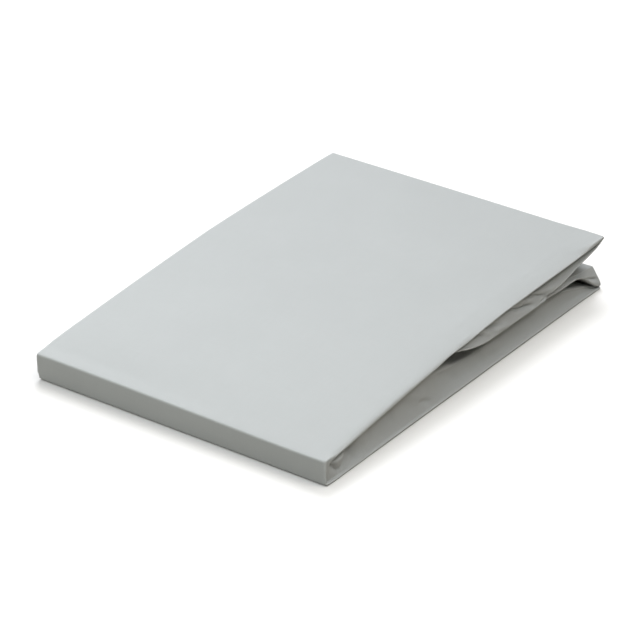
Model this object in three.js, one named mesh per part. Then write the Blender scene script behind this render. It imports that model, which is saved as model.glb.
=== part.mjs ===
import * as THREE from "three";

// Folded pillowcase, sizes in millimetres, +Z up.
// Working corner: x runs along the folded spine, y from the spine to the far end.
// The finished mesh is moved so that the middle of its footprint is the origin.

const WIDTH = 168;
const LENGTH = 240;
const CLOTH = 1.0;
const PITCH = 2.15;
const HALF = CLOTH / 2;
const INNER_DEPTH = 2 * PITCH + HALF;
const CLOTH_COLOR = 0xc4cac9;

// Bends
const SPINE_RUN = 6.5;
const SPINE_INNER_DEPTH = 1.9;
const SPINE_LEFT = { top: -1.2, base: 0.4 };
const SPINE_HOLLOW = 0.2;
const OUTER_SQUARENESS = 5;
const INNER_SQUARENESS = 2.3;
const TOP_NOSE_REACH = 4.6;
const LOW_NOSE_REACH = 3.4;
const SPINE_STEPS = 10;
const NOSE_STEPS = 6;
const SIDE_FOLD_STEPS = 7;
const LEFT_FOLD_STEPS = 3;
const SIDE_CORNER = 1.5;
const CORNER_SHARE = 0.46;
const INSIDE_CORNER_SHARE = 0.7;
const BEND_SPACING = 1.4;

// Where the free side edges of the bag lie inside the pack
const MIDDLE_LAYER_EDGE = 138;
const INNER_LAYER_EDGE = 3;

// Where the two turned-in ends stop
const LOWER_TUCK_END = 110;
const UPPER_TUCK_END = 128;

// Reach of the right side's shape into the pack
const EDGE_START = 138;
const EDGE_FULL = 160;

// Side folds: how far the inner layer stands back, and how hollow the wall is
const ROLL_SETBACK = 0.6;
const BAND_SETBACK = 1.4;
const WALL_HOLLOW = 0.9;
const FULL_HOLLOW_RISE = 10;
const TUCK_LEFT = 0.3;

// Height of the spine's top edge, from the left end to the right end
const SPINE_TOP = [
  { x: 0, z: 12.7 },
  { x: 37, z: 13.7 },
  { x: 96, z: 13.1 },
  { x: 153, z: 12.5 },
  { x: 168, z: 13.0 },
];

// One row per section across the pack, from the spine to the far end.
// left, middle, right: top face. rollUnder: underside of the top panel's rolled edge.
// upperTuck: underside of the upper turned-in end. lowerTuck: top of the lower one.
// bandLow: underside of the lower turned-in end. wallTop: top of the side wall.
// wallX, lowerX, ridgeX, upperX: how far out the side folds reach.
const SECTIONS = [
  { y: 6.5, left: 15.0, middle: 14.9, right: 13.9, rollUnder: 11.2, wallTop: 10.1, wallX: 165.5 },
  { y: 14, left: 17.0, middle: 16.7, right: 14.8, rollUnder: 12.1, wallTop: 11.3, wallX: 161.5 },
  { y: 26, left: 19.0, middle: 18.6, right: 16.4, rollUnder: 13.7, wallTop: 13.3, wallX: 162.5 },
  { y: 42, left: 20.7, middle: 20.5, right: 18.3, rollUnder: 15.6, wallTop: 15.2, wallX: 162.0 },
  { y: 62, left: 22.5, middle: 22.4, right: 20.5, rollUnder: 17.8, wallTop: 17.4, wallX: 161.5 },
  { y: 84, left: 24.4, middle: 24.2, right: 22.6, rollUnder: 19.9, wallTop: 19.4, wallX: 161.0 },
  { y: 101, left: 25.8, middle: 25.6, right: 24.6, rollUnder: 21.9, wallTop: 20.2, wallX: 160.5 },
  { y: 111, left: 26.5, middle: 26.3, right: 25.1, rollUnder: 22.4, wallTop: 18.4, wallX: 160.5,
    lowerTuck: 22.0, bandLow: 18.9, lowerX: 167.6, ridgeX: 167.0 },
  { y: 120, left: 27.2, middle: 26.9, right: 25.6, rollUnder: 22.9, wallTop: 16.5, wallX: 160.5,
    lowerTuck: 19.6, bandLow: 17.0, lowerX: 167.8, ridgeX: 167.0 },
  { y: 130, left: 27.8, middle: 27.4, right: 26.2, rollUnder: 23.5, wallTop: 15.1, wallX: 160.5,
    lowerTuck: 18.0, bandLow: 15.6, lowerX: 167.8, ridgeX: 167.0, upperTuck: 18.6, upperX: 167.6 },
  { y: 145, left: 28.5, middle: 28.0, right: 27.1, rollUnder: 24.4, wallTop: 15.0, wallX: 160.0,
    lowerTuck: 17.9, bandLow: 15.5, lowerX: 167.8, ridgeX: 167.0, upperTuck: 18.3, upperX: 167.6 },
  { y: 165, left: 29.2, middle: 28.7, right: 27.6, rollUnder: 24.9, wallTop: 14.9, wallX: 160.0,
    lowerTuck: 17.8, bandLow: 15.4, lowerX: 167.8, ridgeX: 166.8, upperTuck: 18.2, upperX: 167.6 },
  { y: 185, left: 29.8, middle: 29.2, right: 28.1, rollUnder: 25.4, wallTop: 14.6, wallX: 160.0,
    lowerTuck: 17.5, bandLow: 15.1, lowerX: 167.6, ridgeX: 166.2, upperTuck: 18.0, upperX: 167.4 },
  { y: 203, left: 30.2, middle: 29.6, right: 28.5, rollUnder: 25.8, wallTop: 13.4, wallX: 160.0,
    lowerTuck: 16.8, bandLow: 14.4, lowerX: 167.2, ridgeX: 165.6, upperTuck: 18.6, upperX: 167.0 },
  { y: 214, left: 30.5, middle: 29.8, right: 28.8, rollUnder: 26.1, wallTop: 10.6, wallX: 160.5,
    lowerTuck: 14.9, bandLow: 12.6, lowerX: 166.6, ridgeX: 164.8, upperTuck: 19.4, upperX: 166.4 },
  { y: 223, left: 30.6, middle: 29.9, right: 29.0, rollUnder: 26.4, wallTop: 6.9, wallX: 162.0,
    lowerTuck: 12.7, bandLow: 9.5, lowerX: 166.4, ridgeX: 164.1, upperTuck: 20.4, upperX: 165.8 },
  { y: 232, left: 30.5, middle: 29.8, right: 29.2, rollUnder: 26.7, wallTop: 3.2, wallX: 164.0,
    lowerTuck: 12.1, bandLow: 6.0, lowerX: 166.4, ridgeX: 163.8, upperTuck: 22.0, upperX: 165.2 },
];
const FAR_ROW = SECTIONS[SECTIONS.length - 1];
const NEAR_ROW = SECTIONS[0];

// Heights of the turned-in ends away from the right side
const LOWER_PACKET = { near: 13.1, far: 13.8 };
const UPPER_PACKET = 13.1;

// Clear space under the rolled edge, wider from PINCH_START on
const ROLL_GAP = 0.7;
const PINCH_START = 214;
const PINCH_RUN = 18;

const lerp = (a, b, k) => a + (b - a) * k;

const smooth = (k) => {
  const c = Math.min(1, Math.max(0, k));
  return c * c * (3 - 2 * c);
};

// Share of the right side's shape at a distance across the pack
const edgeShare = (x) => smooth((x - EDGE_START) / (EDGE_FULL - EDGE_START));

// Top face across the pack, through its left, middle and right heights
const topHeight = (row, x) => {
  const k = Math.min(1, Math.max(0, x / WIDTH));
  const left = row.left * (1 - k) * (1 - 2 * k);
  const middle = row.middle * 4 * k * (1 - k);
  const right = row.right * k * (2 * k - 1);
  return left + middle + right;
};

const spineHeight = (x) => {
  for (let i = 1; i < SPINE_TOP.length; i += 1) {
    const a = SPINE_TOP[i - 1];
    const b = SPINE_TOP[i];
    if (x <= b.x || i === SPINE_TOP.length - 1) {
      return lerp(a.z, b.z, smooth((x - a.x) / (b.x - a.x)));
    }
  }
  return SPINE_TOP[0].z;
};

const farShare = (row) => (row.y - LOWER_TUCK_END) / (LENGTH - LOWER_TUCK_END);

const lowerPacket = (row, x) => {
  const inside = lerp(LOWER_PACKET.near, LOWER_PACKET.far, farShare(row));
  return lerp(inside, row.lowerTuck, edgeShare(x));
};

const underRoll = (row) => ROLL_GAP + smooth((row.y - PINCH_START) / PINCH_RUN);

const upperPacket = (row, x) => {
  return lerp(topHeight(row, x) - UPPER_PACKET, row.upperTuck, edgeShare(x));
};

// A point on a rounded-square arc, turning from +half turn to -half turn
const squareArc = (angle, power) => {
  const c = Math.max(0, Math.cos(angle));
  const s = Math.sin(angle);
  return [Math.pow(c, 2 / power), Math.sign(s) * Math.pow(Math.abs(s), 2 / power)];
};

// Each station gives the outer layer's and the inner layer's place at x, as [y, z]
const panelStation = (row, outer, inner, reach) => ({ y: row.y, outer, inner, ...reach });

const topStation = (row) => panelStation(
  row,
  (x) => [row.y, topHeight(row, x) - HALF],
  (x) => {
    const inside = topHeight(row, x) - INNER_DEPTH;
    return [row.y, lerp(inside, row.rollUnder + HALF, edgeShare(x))];
  },
  { outX: WIDTH, inX: WIDTH - ROLL_SETBACK, hollow: 0, leftX: 0 },
);

const bottomStation = (row) => panelStation(
  row,
  () => [row.y, HALF],
  (x) => [row.y, lerp(INNER_DEPTH, row.wallTop - HALF, edgeShare(x))],
  { outX: WIDTH, inX: row.wallX, hollow: WALL_HOLLOW, leftX: 0 },
);

const lowerTuckStation = (row) => panelStation(
  row,
  (x) => [row.y, lowerPacket(row, x) - HALF],
  (x) => {
    const inside = lowerPacket(row, 0) - INNER_DEPTH;
    return [row.y, lerp(inside, row.bandLow + HALF, edgeShare(x))];
  },
  { outX: row.ridgeX, inX: row.lowerX, hollow: 0, leftX: TUCK_LEFT },
);

const upperTuckStation = (row) => panelStation(
  row,
  (x) => [row.y, upperPacket(row, x) + HALF],
  (x) => {
    const inside = topHeight(row, x) - UPPER_PACKET + INNER_DEPTH;
    return [row.y, lerp(inside, row.rollUnder - underRoll(row) - HALF, edgeShare(x))];
  },
  { outX: row.upperX, inX: row.upperX - BAND_SETBACK, hollow: 0, leftX: TUCK_LEFT },
);

// Spine: a squarish bend for the outer layer, rounder for the inner one
const spineStation = (k) => {
  const angle = Math.PI * (0.5 - k);
  const top = topStation(NEAR_ROW);
  const base = bottomStation(NEAR_ROW);
  const bend = (x, from, to, tip, power) => {
    const [c, s] = squareArc(angle, power);
    const middle = (from[1] + to[1]) / 2;
    const half = (from[1] - to[1]) / 2;
    return [lerp(SPINE_RUN, tip, c), middle + half * s];
  };
  return {
    outer: (x) => {
      const crown = topHeight(NEAR_ROW, x) - spineHeight(x);
      const from = [SPINE_RUN, spineHeight(x) - HALF];
      const p = bend(x, from, base.outer(x), HALF, OUTER_SQUARENESS);
      const lift = crown * (p[0] / SPINE_RUN) * smooth((p[1] - HALF) / (from[1] - HALF));
      return [p[0], p[1] + lift];
    },
    inner: (x) => {
      const tip = lerp(INNER_DEPTH, SPINE_RUN - SPINE_INNER_DEPTH, edgeShare(x));
      return bend(x, top.inner(x), base.inner(x), tip, INNER_SQUARENESS);
    },
    outX: WIDTH,
    inX: lerp(top.inX, base.inX, k),
    hollow: SPINE_HOLLOW * k,
    leftX: lerp(SPINE_LEFT.top, SPINE_LEFT.base, smooth(k)),
  };
};

// Far end of each packet: a round nose, narrower at the right
const noseStation = (from, to, k, reach, bow) => {
  const angle = Math.PI * (0.5 - k);
  const bend = (a, b, tip) => {
    const [c, s] = squareArc(angle, 2);
    return [lerp(FAR_ROW.y, tip, c), (a[1] + b[1]) / 2 + ((a[1] - b[1]) / 2) * s];
  };
  return {
    outer: (x) => bend(from.outer(x), to.outer(x), LENGTH - HALF),
    inner: (x) => {
      const tip = LENGTH - HALF - lerp(2 * PITCH, reach, edgeShare(x));
      return bend(from.inner(x), to.inner(x), tip);
    },
    outX: lerp(from.outX, to.outX, bow(k)),
    inX: lerp(from.inX, to.inX, k),
    hollow: lerp(from.hollow, to.hollow, k),
    leftX: lerp(from.leftX, to.leftX, k),
  };
};

const inSteps = (count, make) => {
  const list = [];
  for (let i = 1; i <= count; i += 1) list.push(make(i / (count + 1)));
  return list;
};

const buildStations = () => {
  const rising = SECTIONS;
  const falling = [...SECTIONS].reverse();
  const upperRows = rising.filter((row) => row.y >= UPPER_TUCK_END);
  const lowerRows = falling.filter((row) => row.y >= LOWER_TUCK_END);
  const upper = upperRows.map(upperTuckStation);
  const top = falling.map(topStation);
  const base = rising.map(bottomStation);
  const lower = lowerRows.map(lowerTuckStation);
  const topNose = inSteps(NOSE_STEPS, (k) => {
    return noseStation(top[0], upper[upper.length - 1], 1 - k, TOP_NOSE_REACH, (q) => q);
  });
  const spine = inSteps(SPINE_STEPS, spineStation);
  const lowNose = inSteps(NOSE_STEPS, (k) => {
    return noseStation(lower[0], base[base.length - 1], 1 - k, LOW_NOSE_REACH, (q) => q * q);
  });
  return [...upper, ...topNose, ...top, ...spine, ...base, ...lowNose, ...lower];
};

// Side fold in its own plane: out from the pack, and across from one layer to the next.
// Two rounded corners with a slanting, slightly hollow side between them.
const FOLD_FINE = 16;

const foldCurve = (rise, corner, outFrom, outTo, hollow) => {
  const slant = Math.atan2(rise, outTo - outFrom);
  const firstX = outFrom - corner * Math.tan(slant / 2);
  const lastX = outTo - corner * Math.tan((Math.PI - slant) / 2);
  const first = [];
  const last = [];
  for (let i = 0; i <= FOLD_FINE; i += 1) {
    const a = slant * (i / FOLD_FINE);
    const b = lerp(slant, Math.PI, i / FOLD_FINE);
    first.push([firstX + corner * Math.sin(a), corner - corner * Math.cos(a)]);
    last.push([lastX + corner * Math.sin(b), rise - corner - corner * Math.cos(b)]);
  }
  const side = [];
  for (let i = 1; i < FOLD_FINE; i += 1) {
    const k = i / FOLD_FINE;
    const from = first[FOLD_FINE];
    const inward = hollow * Math.min(1, rise / FULL_HOLLOW_RISE) ** 3 * 4 * k * (1 - k);
    side.push([lerp(from[0], last[0][0], k) - inward, lerp(from[1], last[0][1], k)]);
  }
  const curve = [...first, ...side, ...last];
  const reach = Math.max(outFrom, outTo) - Math.max(...curve.map((point) => point[0]));
  return curve.map(([out, across]) => [out + reach, across]);
};

// Points are spaced by length and by bend, so tight and tall folds both come out even
const sideFold = (rise, outFrom, outTo, hollow, steps) => {
  const corner = Math.min(SIDE_CORNER, rise * CORNER_SHARE);
  const curve = foldCurve(rise, corner, outFrom, outTo, hollow);
  const last = curve.length - 1;
  const spacing = [0];
  for (let i = 1; i <= last; i += 1) {
    const length = Math.hypot(curve[i][0] - curve[i - 1][0], curve[i][1] - curve[i - 1][1]);
    const bending = i <= FOLD_FINE || i > 2 * FOLD_FINE ? rise / (BEND_SPACING * FOLD_FINE) : 0;
    spacing.push(spacing[i - 1] + length + bending);
  }
  const picked = [];
  let at = 0;
  for (let i = 0; i <= steps; i += 1) {
    const goal = (i / steps) * spacing[last];
    while (at < last - 1 && spacing[at + 1] < goal) at += 1;
    const k = (goal - spacing[at]) / (spacing[at + 1] - spacing[at]);
    const a = curve[Math.max(0, at - 1)];
    const b = curve[Math.min(last, at + 2)];
    const turn = Math.hypot(b[0] - a[0], b[1] - a[1]);
    const square = i === 0 ? [0, -1] : [0, 1];
    picked.push({
      out: lerp(curve[at][0], curve[at + 1][0], k),
      rise: lerp(curve[at][1], curve[at + 1][1], k),
      normal: i === 0 || i === steps ? square : [(b[1] - a[1]) / turn, -(b[0] - a[0]) / turn],
      inside: Math.min(HALF, corner * INSIDE_CORNER_SHARE),
    });
  }
  return picked;
};

const MIDDLE_STOPS = [MIDDLE_LAYER_EDGE, 95, 45];
const OUTER_STOPS = [45, 95, 138, 149, 159];
const INNER_STOPS = [157, 149, 138, 95, 45, INNER_LAYER_EDGE];

// The cloth's middle surface at one station, from the hidden middle layer's edge,
// round the left fold, across the outer layer, round the right fold, to the inner edge
const sectionLine = (station) => {
  const outer = station.outer;
  const inner = station.inner;
  const middle = (x) => {
    const a = outer(x);
    const b = inner(x);
    return [(a[0] + b[0]) / 2, (a[1] + b[1]) / 2];
  };
  const line = [];
  const put = (x, place) => line.push({ at: new THREE.Vector3(x, place[0], place[1]) });
  const putFold = (fold, from, to, side) => fold.forEach((point) => {
    const x = side * point.out;
    const a = from(Math.max(0, x));
    const b = to(Math.max(0, x));
    const gap = Math.hypot(b[0] - a[0], b[1] - a[1]);
    const towards = [(b[0] - a[0]) / gap, (b[1] - a[1]) / gap];
    const share = point.rise / fold[fold.length - 1].rise;
    line.push({
      at: new THREE.Vector3(x, lerp(a[0], b[0], share), lerp(a[1], b[1], share)),
      normal: new THREE.Vector3(
        side * point.normal[0],
        towards[0] * point.normal[1],
        towards[1] * point.normal[1],
      ),
      inside: point.inside,
    });
  });
  const gapAt = (x, a, b) => Math.hypot(b(x)[0] - a(x)[0], b(x)[1] - a(x)[1]);
  MIDDLE_STOPS.forEach((x) => put(x, middle(x)));
  const leftOut = -station.leftX - HALF;
  const left = sideFold(gapAt(0, outer, middle), leftOut, leftOut, 0, LEFT_FOLD_STEPS);
  const before = line.length;
  putFold(left, outer, middle, -1);
  line.push(...line.splice(before).reverse());
  OUTER_STOPS.forEach((x) => put(x, outer(x)));
  const edge = Math.min(station.outX, station.inX);
  const right = sideFold(
    gapAt(edge, outer, inner),
    station.outX - HALF,
    station.inX - HALF,
    station.hollow,
    SIDE_FOLD_STEPS,
  );
  putFold(right, outer, inner, 1);
  INNER_STOPS.forEach((x) => put(x, inner(x)));
  return line;
};

// Thickens the middle surface into one closed body
const thicken = (grid) => {
  const rows = grid.length;
  const cols = grid[0].length;
  const normalAt = (r, c) => {
    if (grid[r][c].normal) return grid[r][c].normal;
    const at = (i, j) => {
      const line = grid[Math.min(rows - 1, Math.max(0, i))];
      return line[Math.min(cols - 1, Math.max(0, j))].at;
    };
    const along = at(r + 1, c).clone().sub(at(r - 1, c));
    const across = at(r, c + 1).clone().sub(at(r, c - 1));
    return along.cross(across).normalize();
  };
  const positions = [];
  const place = (side) => grid.forEach((line, r) => line.forEach((point, c) => {
    const reach = side < 0 && point.inside ? point.inside : HALF;
    const moved = point.at.clone().addScaledVector(normalAt(r, c), side * reach);
    positions.push(moved.x, moved.y, Math.max(0, moved.z));
  }));
  place(1);
  place(-1);
  const front = (r, c) => r * cols + c;
  const back = (r, c) => rows * cols + r * cols + c;
  const index = [];
  const quad = (a, b, c, d) => index.push(a, b, c, a, c, d);
  for (let r = 0; r < rows - 1; r += 1) {
    for (let c = 0; c < cols - 1; c += 1) {
      quad(front(r, c), front(r + 1, c), front(r + 1, c + 1), front(r, c + 1));
      quad(back(r, c), back(r, c + 1), back(r + 1, c + 1), back(r + 1, c));
    }
  }
  for (let r = 0; r < rows - 1; r += 1) {
    const last = cols - 1;
    quad(front(r, 0), back(r, 0), back(r + 1, 0), front(r + 1, 0));
    quad(front(r, last), front(r + 1, last), back(r + 1, last), back(r, last));
  }
  for (let c = 0; c < cols - 1; c += 1) {
    const last = rows - 1;
    quad(front(0, c), front(0, c + 1), back(0, c + 1), back(0, c));
    quad(front(last, c), back(last, c), back(last, c + 1), front(last, c + 1));
  }
  const geometry = new THREE.BufferGeometry();
  geometry.setAttribute("position", new THREE.Float32BufferAttribute(positions, 3));
  geometry.setIndex(index);
  return geometry;
};

const centre = (geometry) => {
  geometry.computeBoundingBox();
  const box = geometry.boundingBox;
  const midX = (box.min.x + box.max.x) / 2;
  const midY = (box.min.y + box.max.y) / 2;
  geometry.translate(-midX, -midY, -box.min.z);
  geometry.computeVertexNormals();
  return geometry;
};

const build = () => {
  const grid = buildStations().map(sectionLine);
  const cloth = new THREE.MeshStandardMaterial({
    color: CLOTH_COLOR,
    roughness: 0.9,
    metalness: 0,
  });
  const mesh = new THREE.Mesh(centre(thicken(grid)), cloth);
  mesh.name = "pillowcase";
  const group = new THREE.Group();
  group.name = "folded_pillowcase";
  group.add(mesh);
  return group;
};

export default build();
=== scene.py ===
"""Looks of the folded pillowcase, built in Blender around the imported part.

One thin sheet of cloth is laid through the pack fold by fold, on the folds of the
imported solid. Lengths in the tables are millimetres in the pack's working corner:
x runs along the folded spine, y from the spine to the far end, z up. MM turns them
into metres, and the frame's own box says where the corner stands.
"""

import logging
import math
from dataclasses import dataclass, field
from enum import Enum
from typing import Callable, Sequence

import bpy
import numpy as np
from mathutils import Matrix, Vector


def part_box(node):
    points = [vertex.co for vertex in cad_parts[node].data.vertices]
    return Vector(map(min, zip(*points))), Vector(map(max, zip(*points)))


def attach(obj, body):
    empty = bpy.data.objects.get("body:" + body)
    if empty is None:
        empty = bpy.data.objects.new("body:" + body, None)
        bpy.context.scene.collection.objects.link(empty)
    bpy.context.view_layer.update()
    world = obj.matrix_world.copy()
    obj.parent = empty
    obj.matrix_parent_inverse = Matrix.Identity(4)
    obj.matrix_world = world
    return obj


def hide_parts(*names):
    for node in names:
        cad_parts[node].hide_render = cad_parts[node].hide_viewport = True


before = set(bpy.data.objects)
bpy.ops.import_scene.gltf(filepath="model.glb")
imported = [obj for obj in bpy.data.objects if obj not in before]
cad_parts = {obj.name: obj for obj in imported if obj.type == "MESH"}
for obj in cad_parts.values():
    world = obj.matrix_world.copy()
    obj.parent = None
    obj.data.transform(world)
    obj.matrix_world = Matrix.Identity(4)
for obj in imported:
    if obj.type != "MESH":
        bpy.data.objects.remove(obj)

MM = 0.001
NODE = "pillowcase"
BODY = "root"

# Names of the sheet's UV map and of its attribute, and the bends, in radians for each
# millimetre, between which a fold's edge goes from plain to fully lightened and smoothed.
FLAT_CLOTH = "flat_cloth"
FOLD_EDGE = "fold_edge"
SHARP_BEND = (0.15, 0.9)

log = logging.getLogger("pillowcase")

Array = np.ndarray
Number = float | np.ndarray
Pair = tuple[float, float]
Triple = tuple[float, float, float]
Colour = tuple[float, float, float, float]


def lerp(a: Number, b: Number, share: Number) -> Number:
    """Value between a and b at a share from 0 to 1.

    Args:
        a: Value at share 0.
        b: Value at share 1.
        share: Share of the way, a number or an array.

    Returns:
        The value between them.
    """
    return a + (b - a) * share


def smooth(share: Number) -> Number:
    """Soft step that rests at 0 and at 1.

    Args:
        share: Share of the way, held to 0..1 first.

    Returns:
        The softened share.
    """
    held = np.clip(share, 0.0, 1.0)
    return held * held * (3.0 - 2.0 * held)


def rounded_arc(angle: float, power: float) -> Pair:
    """Point on a rounded-square arc of radius 1.

    Args:
        angle: Angle from -90 to +90 degrees, in radians.
        power: 2 for a circle, more for squarer, 1 for a straight slope.

    Returns:
        The point's reach outwards and its height, from -1 to 1.
    """
    out = max(0.0, math.cos(angle))
    up = math.sin(angle)
    return out ** (2.0 / power), math.copysign(abs(up) ** (2.0 / power), up)


class Line:
    """Smooth curve through a few (distance, value) places, with no overshoot."""

    def __init__(self, *places: Pair) -> None:
        """Keeps the places and works out a slope at each.

        Args:
            *places: The places, in order of distance.
        """
        self.at_places = np.array([place[0] for place in places], float)
        self.values = np.array([place[1] for place in places], float)
        steps = np.diff(self.at_places)
        rise = np.diff(self.values) / steps
        slopes = np.zeros(len(places))
        slopes[0], slopes[-1] = rise[0], rise[-1]
        for i in range(1, len(places) - 1):
            if rise[i - 1] * rise[i] > 0.0:
                before = 2.0 * steps[i] + steps[i - 1]
                after = steps[i] + 2.0 * steps[i - 1]
                slopes[i] = (before + after) / (before / rise[i - 1] + after / rise[i])
        self.slopes = slopes

    def __call__(self, distance: float) -> float:
        """Value at a distance; past the ends it stays at the end's value.

        Args:
            distance: Where to read the curve.

        Returns:
            The value there.
        """
        held = min(max(distance, self.at_places[0]), self.at_places[-1])
        i = int(np.searchsorted(self.at_places, held, side="right")) - 1
        i = min(max(i, 0), len(self.at_places) - 2)
        step = self.at_places[i + 1] - self.at_places[i]
        k = (held - self.at_places[i]) / step
        k2, k3 = k * k, k * k * k
        return float(
            self.values[i] * (2 * k3 - 3 * k2 + 1)
            + self.slopes[i] * step * (k3 - 2 * k2 + k)
            + self.values[i + 1] * (3 * k2 - 2 * k3)
            + self.slopes[i + 1] * step * (k3 - k2)
        )


@dataclass(frozen=True)
class Change:
    """Soft change along the pack: none up to start, full after run more millimetres."""

    start: float
    run: float

    def __call__(self, y: float) -> float:
        """Share of the change that is made at a place along the pack."""
        return float(smooth((y - self.start) / self.run))


class Layer(Enum):
    """Stretch of the cloth along its path through the pack."""

    UPPER_END = "upper turned-in end"
    TOP_NOSE = "far bend of the top panel"
    TOP = "top panel"
    SPINE = "spine"
    BASE = "bottom panel"
    LOW_NOSE = "far bend of the bottom panel"
    LOWER_END = "lower turned-in end"


@dataclass(frozen=True)
class PackSizes:
    """Sizes of the folded pack, in millimetres.

    Depths are taken from the top of a panel or a packet down to the middle of its
    inner layer. The right side's own shape starts at edge_start and is full at
    edge_full. A near row or far row is where a panel meets its bend.
    """

    width: float = 168.0
    length: float = 240.0
    cloth: float = 0.7
    pitch: float = 2.15
    inner_depth: float = 4.8
    packet_depth: float = 13.1
    lower_inside: Pair = (13.1, 13.8)
    spine_run: float = 6.5
    spine_inner_depth: float = 1.9
    top_nose_reach: float = 3.2
    low_nose_reach: float = 1.4
    near_row: float = 6.5
    far_row: float = 232.0
    far_stretch: float = 5.8
    far_widening: float = 0.6
    lower_end: float = 110.0
    lower_slant: float = 10.0
    upper_end: float = 101.0
    edge_start: float = 138.0
    edge_full: float = 160.0
    roll_gap: float = 0.45
    full_wall: float = 8.0
    foot_out: float = 0.7
    spine_out: float = 1.0
    spine_lift: float = 0.3

    @property
    def half(self) -> float:
        """Half the cloth's thickness."""
        return self.cloth / 2.0


@dataclass(frozen=True)
class Heights:
    """Heights and reaches along the pack, as (y, value) in millimetres.

    The spine's top edge goes by x instead, and its left end by the share of the way
    round the spine. The changes say where the right side's shape gives way to another.
    """

    spine_top: Line = Line(
        (0, 14.1), (12, 14.2), (37, 14.1), (96, 13.5), (153, 12.9), (168, 13.1),
    )
    top_left: Line = Line(
        (6.5, 15.2), (14, 16.9), (26, 19.0), (42, 20.7), (62, 22.5), (84, 24.4),
        (111, 26.6), (130, 28.0), (165, 29.5), (203, 30.7), (223, 31.3), (232, 31.5),
    )
    top_middle: Line = Line(
        (6.5, 14.7), (14, 16.3), (26, 18.5), (42, 20.5), (62, 22.4), (84, 24.2),
        (111, 26.4), (130, 27.6), (165, 29.0), (203, 30.0), (223, 30.4), (232, 30.5),
    )
    top_right: Line = Line(
        (6.5, 13.9), (14, 14.8), (26, 16.4), (42, 18.3), (62, 20.5), (84, 22.6),
        (101, 24.6), (120, 25.6), (145, 27.1), (185, 28.1), (214, 28.8), (232, 29.2),
    )
    roll_under: Line = Line(
        (5.7, 11.0), (12, 11.7), (22.7, 12.9), (35, 14.4), (54, 16.4), (74, 18.6),
        (88, 20.0), (101, 21.7), (112, 22.0), (121, 22.7), (130, 23.4), (149, 24.5),
        (168, 24.9), (186, 25.4), (204, 25.8), (220, 26.3), (232, 26.7),
    )
    wall_top: Line = Line(
        (6.5, 9.4), (13, 10.0), (18, 10.2), (22.5, 10.0), (27, 11.8), (35, 12.9), (54, 14.9),
        (74, 17.0), (84, 17.8), (90, 17.3), (97, 15.9), (104, 14.6), (111, 13.6), (119, 13.1),
        (130, 12.9), (172, 12.9), (190, 12.9), (198, 12.6), (206, 11.7), (212, 10.5),
        (216, 9.3), (222, 7.1), (227, 5.2), (230, 4.3), (234, 2.3), (238, 1.55),
    )
    wall_reach: Line = Line(
        (0, 166.8), (13, 166.0), (18, 164.6), (22.5, 163.4), (27, 164.2), (36, 164.4),
        (86, 164.2), (97, 163.0), (112, 162.6), (136, 163.6), (203, 163.8), (226, 164.8),
        (238, 167.0),
    )
    lip_rise: Line = Line((0, 0.1), (14, 0.2), (40, 0.35), (80, 0.5), (200, 0.55), (238, 0.35))
    wall_round: Line = Line(
        (0, 1.0), (84, 1.0), (97, 2.6), (122, 2.8), (140, 1.3), (172, 1.0), (198, 1.6),
        (220, 1.6), (232, 0.6), (238, 0.3),
    )
    lower_top: Line = Line(
        (110, 20.5), (120, 18.6), (130, 17.4), (165, 17.3), (185, 17.3), (203, 16.8),
        (214, 15.0), (223, 13.3), (232, 12.4), (238, 11.2),
    )
    lower_under: Line = Line(
        (110, 19.0), (120, 17.0), (130, 15.9), (165, 15.8), (180, 15.2), (188, 14.4),
        (203, 14.0), (210, 14.2), (214, 14.0), (218, 13.2), (222, 11.6), (225, 9.9),
        (228, 7.9), (231, 5.4), (235.5, 2.3), (238, 1.85),
    )
    lower_ridge: Line = Line(
        (110, 164.6), (165, 164.8), (185, 166.0), (203, 165.8), (214, 165.2), (232, 164.2),
        (238, 163.4),
    )
    lower_reach: Line = Line(
        (110, 164.8), (165, 165.0), (185, 166.8), (203, 167.6), (232, 168.0), (238, 168.8),
    )
    upper_under: Line = Line(
        (101, 21.6), (110, 20.9), (120, 19.6), (130, 18.6), (145, 18.3), (165, 18.2),
        (185, 18.0), (203, 18.9), (214, 21.2), (223, 22.8), (232, 24.6),
    )
    band_low: Line = Line(
        (101, 22.0), (107, 20.6), (116, 17.9), (124, 16.4), (131, 15.5), (172, 15.4),
        (184, 15.4), (190, 17.6), (199, 18.3), (206, 19.6), (212, 21.0), (225, 23.3),
        (232, 24.7),
    )
    top_left_out: Line = Line(
        (0, -1.8), (10, -1.3), (20, -0.4), (35, 0.2), (60, 0.1), (100, 0.0), (190, -0.2),
        (232, 0.0),
    )
    spine_left_out: Line = Line(
        (0, -1.5), (0.25, -1.8), (0.42, -2.0), (0.58, -1.6), (0.72, -0.8), (1, -0.3),
    )
    band_reach: Line = Line((101, 165.5), (112, 167.4), (131, 168.2), (190, 168.4), (232, 168.5))
    far_stretches: Change = Change(198.0, 34.0)
    far_widens: Change = Change(150.0, 82.0)
    roll_fills: Change = Change(60.0, 70.0)
    roll_pinches: Change = Change(212.0, 20.0)
    band_leans: Change = Change(150.0, 40.0)


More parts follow.
